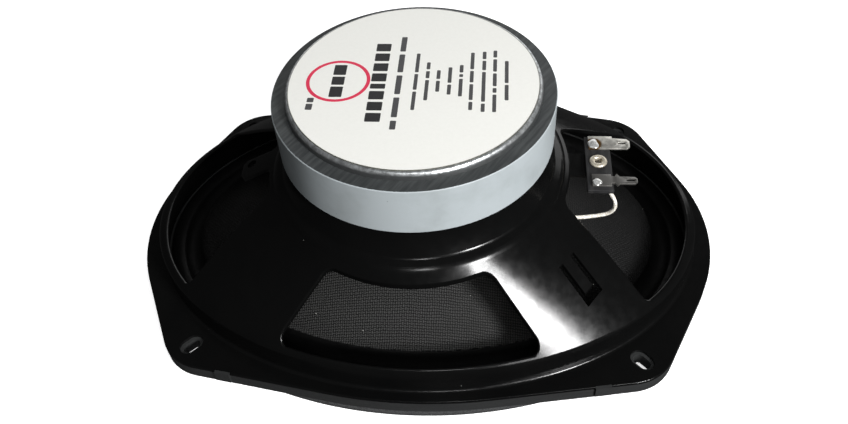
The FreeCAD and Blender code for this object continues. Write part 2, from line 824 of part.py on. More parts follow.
def make_voice_coil():
    inner = size.coil_inner_radius
    wall = size.coil_wall
    turned_body("voice_coil_former", [
        (inner, size.cone_neck_z - 2.0),
        (inner + wall, size.cone_neck_z - 2.0),
        (inner + wall, 68.6),
        (inner, 68.6),
    ])
    turned_body("voice_coil", [
        (inner + wall, 56.6),
        (size.coil_outer_radius, 56.6),
        (size.coil_outer_radius, 68.2),
        (inner + wall, 68.2),
    ])
    turned_body("dust_ring", [
        (size.post_radius + 0.9, 41.6),
        (inner - 0.02, 41.6),
        (inner - 0.02, 42.8),
        (size.post_radius + 0.9, 42.8),
    ])


# ---------------------------------------------------------------------------------------------
# tweeter pod on its post
# ---------------------------------------------------------------------------------------------


def make_post():
    """Tube from the pole's tip to the pod, bored and tapped for the bolt."""
    radius = size.post_radius
    turned_body("tweeter_post", [
        (BORE_RADIUS, size.pole_tip_z),
        (BORE_RADIUS, size.cone_neck_z - 3.0),
        (0, size.cone_neck_z - 3.0),
        (0, size.pod_rear_z),
        (radius, size.pod_rear_z),
        (radius, size.pole_tip_z - 2.0),
        (radius + 1.6, size.pole_tip_z - 1.2),
        (radius + 1.6, size.pole_tip_z),
    ])


POD_HALF_LENGTH = 40.0
POD_HALF_WIDTH = 19.5


def make_pod():
    """Moulded oval housing, closed behind, with a round seat for each small driver in front."""
    body = start_body("tweeter_pod")
    outline = turned_slot(0, 0, 2 * POD_HALF_LENGTH, 2 * POD_HALF_WIDTH, 0)
    pad(body, "pod_block", outline, "dims.pod_front_z", "dims.pod_rear_z - dims.pod_front_z - 3")
    crown = turned_slot(0, 0, 2 * POD_HALF_LENGTH - 8, 2 * POD_HALF_WIDTH - 8, 0)
    pad(body, "pod_crown", crown, "dims.pod_rear_z - 3", "3")
    pocket(body, "tweeter_seat", [circle(17.0, size.dome_x)], "dims.pod_front_z", "11.5")
    pocket(body, "horn_seat", [circle(12.2, size.horn_x)], "dims.pod_front_z", "7")
    pocket(body, "disc_seat", [circle(8.2, size.horn_x)], "dims.pod_front_z + 7", "2.5")


def make_tweeter():
    """Dome tweeter in the pod: steel cup, magnet disc, pole plate, coil, dome and bezel."""
    x = size.dome_x
    seat = size.pod_front_z + 11.5
    front = size.pod_front_z
    turned_body("tweeter_cup", [
        (0, seat),
        (16.4, seat),
        (16.4, front + 2.0),
        (14.6, front + 2.0),
        (14.6, seat - 2.0),
        (0, seat - 2.0),
    ], x)
    turned_body("tweeter_magnet", [
        (0, seat - 2.0), (12.2, seat - 2.0), (12.2, seat - 6.0), (0, seat - 6.0),
    ], x)
    turned_body("tweeter_pole_plate", [
        (0, seat - 6.0), (12.4, seat - 6.0), (12.4, seat - 9.0), (0, seat - 9.0),
    ], x)
    turned_body("tweeter_coil", [
        (12.8, front + 0.6), (13.2, front + 0.6), (13.2, front + 6.0), (12.8, front + 6.0),
    ], x)
    make_dome(x, front)
    turned_body("tweeter_bezel", [
        (15.6, front + 2.0), (15.6, front), (14.6, front - 1.0), (16.8, front - 3.2), (18.8, front - 3.2),
        (18.8, front), (16.4, front), (16.4, front + 2.0),
    ], x)


def make_dome(x, front):
    """Thin metal dome with a flat rim, bulging forwards."""
    rim = size.dome_radius
    thick = 0.4
    rise = 4.6
    radius = (rim**2 + rise**2) / (2 * rise)
    centre_z = front + 0.2 - rise + radius
    profile_points = 12
    outer, inner = [], []
    for i in range(profile_points + 1):
        reach = rim * i / profile_points
        outer.append((reach, centre_z - math.sqrt(radius**2 - reach**2)))
        inner.append((reach, centre_z - math.sqrt(radius**2 - reach**2) + thick))
    rim_out = [(14.3, front + 0.2), (14.3, front + 0.2 + thick)]
    turned_body("tweeter_dome", outer + rim_out + list(reversed(inner)), x)


def make_super_tweeter():
    """Piezo disc behind a small paper horn, held by a ring."""
    x = size.horn_x
    front = size.pod_front_z
    turned_body("super_tweeter_disc", [
        (0, front + 9.3), (7.8, front + 9.3), (7.8, front + 8.9), (0, front + 8.9),
    ], x)
    turned_body("super_tweeter_horn", [
        (0, front + 8.9), (2.0, front + 8.9), (3.4, front + 5.0), (10.6, front + 1.6), (11.8, front + 1.6),
        (11.8, front + 1.1), (10.4, front + 1.1), (2.8, front + 4.7), (1.4, front + 8.3), (0, front + 8.3),
    ], x)
    turned_body("super_tweeter_bezel", [
        (10.9, front + 1.1), (10.9, front - 0.6), (11.8, front - 2.0), (13.4, front - 2.0), (13.4, front),
        (12.0, front), (12.0, front + 1.1),
    ], x)


CAPACITORS = {
    # name: (x, radius, length)
    "tweeter_capacitor": (-18.0, 4.0, 16.0),
    "super_tweeter_capacitor": (18.0, 3.1, 11.0),
}


def make_capacitors():
    """Two small cans lying across the back of the pod, beside the post."""
    for name, (x, radius, length) in CAPACITORS.items():
        body = start_body(name)
        can = body.newObject("PartDesign::Pad", name + "_can")
        end = [circle(radius, x, size.pod_rear_z + radius)]
        can.Profile = add_sketch(body, name + "_end", end, role="XZ_Plane")
        can.Length = length
        can.Midplane = True


# ---------------------------------------------------------------------------------------------
# terminals and lead
# ---------------------------------------------------------------------------------------------


def make_board():
    """Fibre strip on the level tab, with the hollow rivet that holds it."""
    board_top = size.tab_z + size.board_gauge
    body = start_body("terminal_board")
    strip = rectangle(64.4, 74.0, -15.4, 13.9) + [circle(EYELET_SHANK_RADIUS + 0.1, *EYELET)]
    pad(body, "strip", strip, "dims.tab_z", "dims.board_gauge")
    underside = size.tab_z - size.sheet_gauge
    turned_body("board_eyelet", [
        (1.4, underside - 0.9),
        (3.2, underside - 0.9),
        (3.2, underside),
        (EYELET_SHANK_RADIUS, underside),
        (EYELET_SHANK_RADIUS, board_top),
        (3.4, board_top),
        (3.1, board_top + 0.6),
        (2.0, board_top + 0.9),
        (1.4, board_top + 0.5),
    ], EYELET[0])


def make_terminals():
    board_top = "dims.tab_z + dims.board_gauge"
    wide = start_body("wide_terminal")
    wide_outline = [
        (65.8, 6.6), (75.1, 6.6), (80.6, 6.7), (81.7, 7.8), (81.7, 10.8), (80.6, 12.0), (75.1, 12.4),
        (75.1, 13.4), (65.8, 13.4),
    ]
    wide_blade = polygon(wide_outline) + turned_slot(78.6, 9.6, 3.2, 1.1, 0)
    pad(wide, "wide_blade", wide_blade, board_top, "dims.blade_gauge")
    narrow = start_body("narrow_terminal")
    narrow_outline = [
        (66.1, -13.4), (73.3, -13.4), (73.3, -12.0), (74.5, -12.0), (75.3, -13.4), (76.4, -12.3),
        (82.0, -12.2), (82.9, -11.2), (82.9, -9.6), (82.0, -8.7), (76.4, -8.6), (75.4, -7.2),
        (74.5, -8.5), (73.3, -8.5), (73.3, -7.5), (66.1, -7.5),
    ]
    narrow_blade = polygon(narrow_outline) + turned_slot(80.4, -10.4, 3.4, 1.2, 0)
    pad(narrow, "narrow_blade", narrow_blade, board_top, "dims.blade_gauge")


SOLDER_PLACES = {
    "wide_solder": (67.9, 9.2),
    "narrow_solder": (68.2, -11.6),
}


def make_solder():
    """A low mound of solder on each terminal."""
    base = size.tab_z + size.board_gauge + size.blade_gauge
    mound = [(0, base), (2.1, base), (1.7, base + 0.5), (0.9, base + 0.95), (0, base + 1.05)]
    for name, (x, y) in SOLDER_PLACES.items():
        body = turned_body(name, mound, x)
        body.Placement = FreeCAD.Placement(V(x, y, 0), FreeCAD.Rotation())


LEAD_ROUTE = [
    (70.6, -8.6, 47.9),
    (72.3, -12.8, 47.7),
    (74.9, -15.2, 45.4),
    (75.5, -15.4, 40.6),
    (73.2, -15.0, 37.3),
    (68.0, -15.3, 36.2),
    (61.2, -16.4, 36.2),
    (54.6, -15.8, 36.6),
    (48.7, -14.9, 36.4),
    (44.9, -14.0, 34.1),
    (43.4, -13.5, 30.4),
]


def make_lead():
    """Braided lead from under the board to the pad on the back of the cone."""
    radius = size.lead_diameter / 2
    points = [V(*p) for p in LEAD_ROUTE]
    edges, radii = rounded_route(points)
    path = Part.Wire(edges)
    start_direction = (points[1] - points[0]).normalize()
    ring = Part.Wire(Part.makeCircle(radius, points[0], start_direction))
    tube = path.makePipeShell([ring], True, False)
    expected = math.pi * radius**2 * path.Length
    print("lead length %.1f mm, arc radii %s" % (path.Length, ", ".join("%.1f" % r for r in radii)))
    print("lead volume %.2f mm3 against %.2f" % (tube.Volume, expected))
    lead = doc.addObject("Part::Feature", "tinsel_lead")
    lead.Shape = tube
    nodes.append(lead)


def rounded_route(points):
    """Straight runs through the points with a tangent arc at each inner point."""
    edges, radii = [], []
    start = points[0]
    for before, corner, after in zip(points, points[1:], points[2:]):
        inward = (corner - before).normalize()
        outward = (after - corner).normalize()
        half_turn = inward.getAngle(outward) / 2
        trim = 0.45 * min((corner - before).Length, (after - corner).Length)
        arc_start = corner - inward * trim
        arc_end = corner + outward * trim
        radius = trim / math.tan(half_turn)
        centre_way = (outward - inward).normalize()
        centre = corner + centre_way * (radius / math.cos(half_turn))
        arc_middle = centre - centre_way * radius
        edges.append(Part.LineSegment(start, arc_start).toShape())
        edges.append(Part.Arc(arc_start, arc_middle, arc_end).toShape())
        radii.append(radius)
        start = arc_end
    edges.append(Part.LineSegment(start, points[-1]).toShape())
    return edges, radii


def make_lead_pad():
    """Solder pad under the lead's end, square to it, lying on the back of the cone."""
    thickness = 1.2
    end = V(*LEAD_ROUTE[-1])
    downward = (end - V(*LEAD_ROUTE[-2])).normalize()
    puck = doc.addObject("Part::Cylinder", "lead_pad")
    puck.Radius = 2.2
    puck.Height = thickness
    puck.Placement = FreeCAD.Placement(end, FreeCAD.Rotation(V(0, 0, 1), downward))
    nodes.append(puck)


# ---------------------------------------------------------------------------------------------
# build, check and write
# ---------------------------------------------------------------------------------------------


def build_all():
    make_basket()
    make_trim_ring()
    make_front_gasket()
    make_magnet_system()
    make_cone()
    make_surround()
    make_spider()
    make_voice_coil()
    make_post()
    make_pod()
    make_tweeter()
    make_super_tweeter()
    make_capacitors()
    make_board()
    make_terminals()
    make_solder()
    make_lead()
    make_lead_pad()


def write_nodes():
    doc.recompute()
    for item in doc.Objects:
        if "Invalid" in item.State or "Error" in item.State:
            raise RuntimeError(item.Name + " did not build")
    os.makedirs("parts", exist_ok=True)
    for node in nodes:
        if node.Shape.isNull() or not node.Shape.isValid():
            raise RuntimeError(node.Label + " has no valid shape")
        box = node.Shape.BoundBox
        print("%-24s solids %d volume %10.1f  x %7.1f %7.1f  y %6.1f %6.1f  z %6.1f %6.1f" % (
            node.Label, len(node.Shape.Solids), node.Shape.Volume,
            box.XMin, box.XMax, box.YMin, box.YMax, box.ZMin, box.ZMax))
        node.Shape.exportStep("parts/%s.step" % node.Label)


build_all()
write_nodes()
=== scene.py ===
import math

import bmesh
import bpy
import numpy as np
from mathutils import Matrix, Vector


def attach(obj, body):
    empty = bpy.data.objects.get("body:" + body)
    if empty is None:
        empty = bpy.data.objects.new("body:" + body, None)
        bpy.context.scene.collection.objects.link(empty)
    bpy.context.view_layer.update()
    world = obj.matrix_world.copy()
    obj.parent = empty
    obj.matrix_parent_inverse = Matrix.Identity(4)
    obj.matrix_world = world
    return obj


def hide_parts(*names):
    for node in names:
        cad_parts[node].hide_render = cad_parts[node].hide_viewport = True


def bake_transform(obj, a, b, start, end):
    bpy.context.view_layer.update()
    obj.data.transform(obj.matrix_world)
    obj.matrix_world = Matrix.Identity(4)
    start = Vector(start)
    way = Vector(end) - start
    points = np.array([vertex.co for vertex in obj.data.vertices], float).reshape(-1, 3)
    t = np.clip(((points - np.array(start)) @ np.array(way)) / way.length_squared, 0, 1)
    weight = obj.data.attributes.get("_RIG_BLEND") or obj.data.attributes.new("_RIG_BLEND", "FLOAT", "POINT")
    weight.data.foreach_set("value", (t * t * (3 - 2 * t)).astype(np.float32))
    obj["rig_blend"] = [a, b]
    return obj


# Oval coaxial car loudspeaker lying face down, seen from the magnet's side.
# Metres, in the CAD frame; sizes named _MM are millimetres and go through mm().

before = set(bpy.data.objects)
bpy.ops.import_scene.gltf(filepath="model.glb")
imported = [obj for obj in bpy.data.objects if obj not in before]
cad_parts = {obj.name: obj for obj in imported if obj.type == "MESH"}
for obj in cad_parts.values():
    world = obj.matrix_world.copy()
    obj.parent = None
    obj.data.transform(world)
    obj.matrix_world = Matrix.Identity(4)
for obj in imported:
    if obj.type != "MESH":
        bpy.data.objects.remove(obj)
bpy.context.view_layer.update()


def mm(*values):
    """Millimetres to metres."""
    scaled = tuple(value / 1000 for value in values)
    return scaled if len(scaled) > 1 else scaled[0]


# ---------------------------------------------------------------------------------------------
# camera and lead
# ---------------------------------------------------------------------------------------------

CAMERA_MM = (29.4, -234.3, 278.2)
CAMERA_AZIMUTH = math.radians(6.987)
CAMERA_ELEVATION = math.radians(47.619)
CAMERA_ROLL = math.radians(-3.962)

LEAD_ROUTE_MM = [
    (70.6, -8.6, 47.9),
    (72.3, -12.8, 47.7),
    (74.9, -15.2, 45.4),
    (75.5, -15.4, 40.6),
    (73.2, -15.0, 37.3),
    (68.0, -15.3, 36.2),
    (61.2, -16.4, 36.2),
    (54.6, -15.8, 36.6),
    (48.7, -14.9, 36.4),
    (44.9, -14.0, 34.1),
    (43.4, -13.5, 30.4),
]
LEAD_DIAMETER = 0.0015


def add_camera():
    back = Vector((
        math.sin(CAMERA_AZIMUTH) * math.cos(CAMERA_ELEVATION),
        -math.cos(CAMERA_AZIMUTH) * math.cos(CAMERA_ELEVATION),
        math.sin(CAMERA_ELEVATION),
    ))
    level_right = (-back).cross(Vector((0, 0, 1))).normalized()
    level_up = back.cross(level_right)
    right = level_right * math.cos(CAMERA_ROLL) + level_up * math.sin(CAMERA_ROLL)
    up = back.cross(right)
    lens = bpy.data.cameras.new("camera")
    lens.sensor_width = 36.0
    lens.lens = 35.66
    lens.clip_start = 0.01
    camera = bpy.data.objects.new("camera", lens)
    turn = Matrix((right, up, back)).transposed().to_4x4()
    camera.matrix_world = Matrix.Translation(mm(*CAMERA_MM)) @ turn
    bpy.context.collection.objects.link(camera)
    bpy.context.scene.camera = camera


def route_line(name, route):
    """Open NURBS spline with the route's points, in metres, as control points."""
    curve = bpy.data.curves.new(name, "CURVE")
    curve.dimensions = "3D"
    curve.resolution_u = 12
    spline = curve.splines.new("NURBS")
    spline.points.add(len(route) - 1)
    for point, place in zip(spline.points, route):
        point.co = (*mm(*place), 1.0)
    spline.order_u = 3
    spline.use_endpoint_u = True
    line = bpy.data.objects.new(name, curve)
    bpy.context.collection.objects.link(line)
    return line


def line_points(route):
    """Points that the route's smooth spline passes through."""
    line = route_line("route", route)
    sampled = bpy.data.meshes.new_from_object(line)
    points = [vertex.co.copy() for vertex in sampled.vertices]
    bpy.data.meshes.remove(sampled)
    bpy.data.objects.remove(line)
    return points


add_camera()
lead_path = line_points(LEAD_ROUTE_MM)

# ---------------------------------------------------------------------------------------------
# node materials
# ---------------------------------------------------------------------------------------------


class Finish:
    """A node material: each method adds a node and returns its output socket."""

    def __init__(self, name, **fixed):
        self.material = bpy.data.materials.new(name)
        self.material.use_nodes = True
        self.tree = self.material.node_tree
        self.shader = self.tree.nodes["Principled BSDF"]
        self.place = self.tree.nodes.new("ShaderNodeTexCoord").outputs["Object"]
        self.split = None
        for key, value in fixed.items():
            self.shader.inputs[key.replace("_", " ")].default_value = value

    def fill(self, socket, value):
        if isinstance(value, bpy.types.NodeSocket):
            self.tree.links.new(value, socket)
        else:
            socket.default_value = value

    def axis(self, letter):
        """One object coordinate in metres."""
        if self.split is None:
            self.split = self.tree.nodes.new("ShaderNodeSeparateXYZ")
            self.fill(self.split.inputs[0], self.place)
        return self.split.outputs[letter]

    def facing(self, letter):
        """One component of the surface's normal, in the object's axes."""
        coords = self.tree.nodes.new("ShaderNodeTexCoord")
        split = self.tree.nodes.new("ShaderNodeSeparateXYZ")
        self.fill(split.inputs[0], coords.outputs["Normal"])
        return split.outputs[letter]

    def stretched(self, scale, turn=0.0):
        """Object coordinates scaled per axis after a turn about Z in degrees."""
        turned = self.tree.nodes.new("ShaderNodeMapping")
        turned.vector_type = "TEXTURE"
        turned.inputs["Rotation"].default_value = (0, 0, math.radians(turn))
        turned.inputs["Scale"].default_value = scale
        self.fill(turned.inputs["Vector"], self.place)
        return turned.outputs[0]

    def noise(self, scale, detail=2.0, rough=0.5, where=None, shift=0.0):
        node = self.tree.nodes.new("ShaderNodeTexNoise")
        node.noise_dimensions = "4D"
        node.inputs["W"].default_value = shift
        node.inputs["Scale"].default_value = scale
        node.inputs["Detail"].default_value = detail
        node.inputs["Roughness"].default_value = rough
        self.fill(node.inputs["Vector"], where or self.place)
        return node.outputs[0]

    def cells(self, scale, output="Distance", feature="F1", where=None):
        node = self.tree.nodes.new("ShaderNodeTexVoronoi")
        node.feature = feature
        node.inputs["Scale"].default_value = scale
        self.fill(node.inputs["Vector"], where or self.place)
        return node.outputs[output]

    def math(self, operation, a, b=0.0, clamp=False):
        node = self.tree.nodes.new("ShaderNodeMath")
        node.operation = operation
        node.use_clamp = clamp
        self.fill(node.inputs[0], a)
        self.fill(node.inputs[1], b)
        return node.outputs[0]

    def span(self, value, low, high, start=0.0, end=1.0, kind="SMOOTHSTEP"):
        """value from low to high becomes start to end, held at both."""
        node = self.tree.nodes.new("ShaderNodeMapRange")
        node.interpolation_type = kind
        for socket, number in zip(node.inputs[1:5], (low, high, start, end)):
            socket.default_value = number
        self.fill(node.inputs[0], value)
        return node.outputs[0]

    def mix(self, share, a, b):
        node = self.tree.nodes.new("ShaderNodeMix")
        node.data_type = "RGBA"
        self.fill(node.inputs[0], share)
        self.fill(node.inputs[6], a if isinstance(a, bpy.types.NodeSocket) else (*a, 1))
        self.fill(node.inputs[7], b if isinstance(b, bpy.types.NodeSocket) else (*b, 1))
        return node.outputs[2]

    def bump(self, height, depth, strength=1.0):
        """Relief of depth metres where height goes from 0 to 1; relief adds up over calls."""
        node = self.tree.nodes.new("ShaderNodeBump")
        node.inputs["Strength"].default_value = strength
        node.inputs["Distance"].default_value = depth
        self.fill(node.inputs["Height"], height)
        normal = self.shader.inputs["Normal"]
        if normal.is_linked:
            self.fill(node.inputs["Normal"], normal.links[0].from_socket)
        self.fill(normal, node.outputs[0])

    def colour(self, value):
        linked = isinstance(value, bpy.types.NodeSocket)
        self.fill(self.shader.inputs["Base Color"], value if linked else (*value, 1))

    def rough(self, value):
        self.fill(self.shader.inputs["Roughness"], value)

    def metal(self, value):
        self.fill(self.shader.inputs["Metallic"], value)

    def speck(self, scale, share, radius):
        """Scattered dots: 1 inside a dot. share is the part of the cells that hold one."""
        near = self.span(self.cells(scale), radius * scale, radius * scale * 0.6)
        pick = self.tree.nodes.new("ShaderNodeSeparateColor")
        self.fill(pick.inputs[0], self.cells(scale, "Color"))
        chosen = self.math("LESS_THAN", pick.outputs[0], share)
        return self.math("MULTIPLY", near, chosen)


def black_paint():
    """Glossy black coat over pressed steel, with faint grain and a few pale specks of dust."""
    coat = Finish("satin_black_paint", Specular_IOR_Level=0.28)
    dust = coat.speck(260, 0.035, 0.00016)
    tone = coat.mix(coat.noise(60, 3), (0.0019, 0.002, 0.0021), (0.0036, 0.0036, 0.0035))
    coat.colour(coat.mix(dust, tone, (0.42, 0.42, 0.4)))
    coat.rough(coat.span(coat.noise(300, 3), 0.3, 0.7, 0.18, 0.23))
    coat.bump(coat.noise(4200, 2), 0.000004, 0.3)
    coat.bump(coat.noise(420, 2), 0.000012, 0.3)
    return coat.material


def trim_finish():
    """Satin dark grey front ring, with faint draw lines along its edge."""
    ring = Finish("trim_satin_grey", Specular_IOR_Level=0.4)
    lines = ring.noise(900, 2, where=ring.stretched((14, 14, 1)))
    ring.colour(ring.mix(lines, (0.016, 0.0165, 0.017), (0.03, 0.031, 0.031)))
    ring.rough(ring.span(ring.noise(700, 3), 0.3, 0.7, 0.36, 0.5))
    ring.bump(lines, 0.00003, 0.4)
    ring.bump(ring.noise(3800, 2), 0.00001, 0.4)
    return ring.material


def ferrite():
    """Pale grey side, and a charcoal ground rear face with slanting grinding marks."""
    magnet = Finish("ferrite", Specular_IOR_Level=0.45)
    rear = magnet.span(magnet.facing("Z"), 0.8, 0.97)
    smudge = magnet.noise(55, 5, 0.6)
    side = magnet.mix(magnet.span(smudge, 0.42, 0.68), (0.35, 0.385, 0.4), (0.3, 0.33, 0.34))
    scrape = magnet.noise(900, 4, 0.6, where=magnet.stretched((12, 1, 1), 58))
    ground = magnet.mix(magnet.span(scrape, 0.35, 0.7), (0.03, 0.033, 0.034), (0.062, 0.067, 0.068))
    pits = magnet.speck(420, 0.05, 0.0002)
    side = magnet.mix(pits, side, (0.08, 0.085, 0.085))
    magnet.colour(magnet.mix(rear, side, ground))
    magnet.rough(magnet.span(rear, 0, 1, 0.48, 0.56))
    magnet.bump(scrape, 0.000012, 0.4)
    magnet.bump(magnet.noise(1500, 4), 0.00002, 0.4)
    return magnet.material


def zinc():
    """Bright zinc plate with an uneven grain, and painted shade that makes its upright faces much darker."""
    steel = Finish("zinc_plate", Metallic=0.85)
    tone = (0.78, 0.81, 0.82)
    spangle = steel.noise(420, 4, 0.65)
    dull = tuple(channel * 0.5 for channel in tone)
    # painted shade: a much darker copy of the plate's colour, laid on faces that stand upright
    upright_painted_shade = tuple(channel * 0.22 for channel in tone)
    bright = steel.mix(steel.span(spangle, 0.35, 0.65), dull, tone)
    steel.colour(steel.mix(steel.span(steel.facing("Z"), 0.15, 0.45), upright_painted_shade, bright))
    steel.rough(steel.span(steel.noise(800, 3), 0.3, 0.7, 0.3, 0.46))
    steel.bump(steel.noise(900, 4, 0.6), 0.00006, 0.5)
    return steel.material


def plain_metal(name, tone, rough, grain=1500, metallic=1.0):
    metal = Finish(name, Metallic=metallic)
    worn = metal.noise(grain, 3)
    metal.colour(metal.mix(worn, tuple(channel * 0.72 for channel in tone), tone))
    metal.rough(metal.span(worn, 0.3, 0.7, rough, rough + 0.14))
    metal.bump(metal.noise(grain * 1.6, 2), 0.00001, 0.5)
    return metal.material


def plain_plastic(name, tone, rough, grain=2500):
    plastic = Finish(name, Specular_IOR_Level=0.45)
    plastic.colour(plastic.mix(plastic.noise(grain / 10, 3), tuple(c * 0.75 for c in tone), tone))
    plastic.rough(plastic.span(plastic.noise(grain / 3, 2), 0.3, 0.7, rough, rough + 0.1))
    plastic.bump(plastic.noise(grain, 2), 0.00002, 0.5)
    return plastic.material


def woven(name, pitch, dark, light, depth, dusty=0.0, rough=0.7, painted_shade_reach=None):
    """Plain weave with its threads along X and Y; the last argument is the reach along X over which painted
    shade turns the cloth dark.
    """
    cloth = Finish(name, Specular_IOR_Level=0.3)
    sway = cloth.noise(160, 2)
    drift = cloth.math("MULTIPLY", cloth.math("SUBTRACT", sway, 0.5), pitch * 0.9)
    across = cloth.math("MULTIPLY", cloth.math("ADD", cloth.axis("X"), drift), math.pi / pitch)
    along = cloth.math("MULTIPLY", cloth.math("ADD", cloth.axis("Y"), drift), math.pi / pitch)
    warp = cloth.math("SINE", across)
    weft = cloth.math("SINE", along)
    over = cloth.math("MULTIPLY", warp, weft)
    warp_body = cloth.math("ABSOLUTE", warp)
    weft_body = cloth.math("ABSOLUTE", weft)
    share = cloth.span(over, -0.35, 0.35)
    height = cloth.math("ADD", cloth.math("MULTIPLY", warp_body, share),
                        cloth.math("MULTIPLY", weft_body, cloth.math("SUBTRACT", 1.0, share)))
    fuzz = cloth.noise(2600, 3)
    tone = cloth.mix(cloth.span(height, 0.35, 1.0), dark, light)
    # painted shade: the cloth goes to its dark tone toward both ends along X
    if painted_shade_reach:
        tone = cloth.mix(cloth.span(cloth.math("ABSOLUTE", cloth.axis("X")), *painted_shade_reach), tone, dark)
    if dusty:
        tone = cloth.mix(cloth.speck(420, dusty, 0.0002), tone, (0.5, 0.5, 0.47))
    cloth.colour(tone)
    cloth.rough(cloth.span(fuzz, 0.3, 0.7, rough - 0.1, rough + 0.1))
    cloth.bump(height, depth, 0.9)
    cloth.bump(fuzz, depth * 0.3, 0.5)
    return cloth.material


def rubber():
    """Matt black rubber roll with a fine moulded skin."""
    skin = Finish("surround_rubber", Specular_IOR_Level=0.2)
    skin.colour(skin.mix(skin.noise(90, 3), (0.0016, 0.0016, 0.0017), (0.0035, 0.0035, 0.0035)))
    skin.rough(skin.span(skin.noise(500, 3), 0.3, 0.7, 0.45, 0.6))
    skin.bump(skin.noise(2600, 3), 0.00002, 0.6)
    return skin.material


def paper():
    """Off-white label stock with faint fibres and a dark cut edge."""
    stock = Finish("label_paper", Specular_IOR_Level=0.35)
    reach = stock.math("SQRT", stock.math("ADD", stock.math("POWER", stock.axis("X"), 2.0),
                                          stock.math("POWER", stock.axis("Y"), 2.0)))
    rim = stock.span(reach, 0.0445, 0.0449)
    fibre = stock.noise(700, 4, 0.6)
    face = stock.mix(fibre, (0.8, 0.8, 0.76), (0.87, 0.87, 0.83))
    stock.colour(stock.mix(rim, face, (0.07, 0.07, 0.055)))
    stock.rough(stock.span(fibre, 0.3, 0.7, 0.42, 0.55))
    stock.bump(fibre, 0.00001, 0.4)
    return stock.material


def print_ink(name, tone):
    ink = Finish(name, Specular_IOR_Level=0.4)
    ink.colour(ink.mix(ink.noise(2600, 3), tone, tuple(min(1.0, c * 1.25 + 0.012) for c in tone)))
    ink.rough(ink.span(ink.noise(900, 2), 0.3, 0.7, 0.4, 0.52))
    return ink.material


def foam():
    """Closed-cell foam with fine pores."""
    sponge = Finish("gasket_foam", Specular_IOR_Level=0.25)
    pores = sponge.cells(1700)
    sponge.colour(sponge.mix(sponge.span(pores, 0.1, 0.6), (0.012, 0.012, 0.013), (0.045, 0.046, 0.047)))
    sponge.rough(sponge.span(pores, 0.0, 0.7, 0.75, 0.9))
    sponge.bump(pores, 0.00012, 0.7)
    return sponge.material


def fibre_board():
    board = Finish("fibre_board", Specular_IOR_Level=0.35)
    flecks = board.noise(600, 4, 0.6, where=board.stretched((1, 6, 1)))
    board.colour(board.mix(board.span(flecks, 0.35, 0.7), (0.013, 0.013, 0.014), (0.028, 0.028, 0.028)))
    board.rough(board.span(flecks, 0.3, 0.7, 0.55, 0.7))
    board.bump(flecks, 0.00003, 0.5)
    return board.material


def tin():
    """Tinned blade, with flux stain round the wide blade's solder; the narrow blade's colour is darker."""
    blade = Finish("tinned_steel", Metallic=0.8)
    dull = blade.noise(380, 4, 0.6)
    clean = blade.mix(blade.span(dull, 0.3, 0.7), (0.48, 0.47, 0.43), (0.86, 0.84, 0.78))
    solder_x, solder_y = mm(67.7, 9.0)
    from_x = blade.math("POWER", blade.math("SUBTRACT", blade.axis("X"), solder_x), 2.0)
    from_y = blade.math("POWER", blade.math("SUBTRACT", blade.axis("Y"), solder_y), 2.0)
    reach = blade.math("SQRT", blade.math("ADD", from_x, from_y))
    reach = blade.math("ADD", reach, blade.math("MULTIPLY", blade.noise(500, 3), 0.0014))
    stain = blade.span(reach, 0.0044, 0.0034)
    # the narrow blade, below about -6 mm in Y, is given a darker colour
    steel = blade.span(blade.axis("Y"), -0.006, -0.0075)
    clean = blade.mix(steel, clean, (0.2, 0.195, 0.185))
    blade.colour(blade.mix(stain, clean, (0.2, 0.11, 0.035)))
    blade.rough(blade.span(dull, 0.3, 0.7, 0.28, 0.45))
    blade.bump(blade.noise(1500, 3), 0.00004, 0.5)
    return blade.material


def solder_finish():
    bead = Finish("solder", Metallic=0.6)
    bead.colour(bead.mix(bead.noise(900, 3), (0.5, 0.5, 0.48), (0.85, 0.86, 0.85)))
    bead.rough(bead.span(bead.noise(1200, 3), 0.3, 0.7, 0.12, 0.3))
    bead.bump(bead.noise(1100, 3), 0.0002, 0.6)
    return bead.material


def braid():
    """Pale tinned braid: the strands cross over at a slant."""
    lead = Finish("braid", Metallic=0.15, Specular_IOR_Level=0.5)
    fleck = lead.noise(2200, 3)
    lead.colour(lead.mix(lead.span(fleck, 0.35, 0.65), (0.6, 0.54, 0.44), (0.97, 0.95, 0.9)))
    lead.rough(lead.span(fleck, 0.3, 0.7, 0.35, 0.55))
    lead.bump(lead.noise(3000, 2), 0.0001, 0.5)
    return lead.material


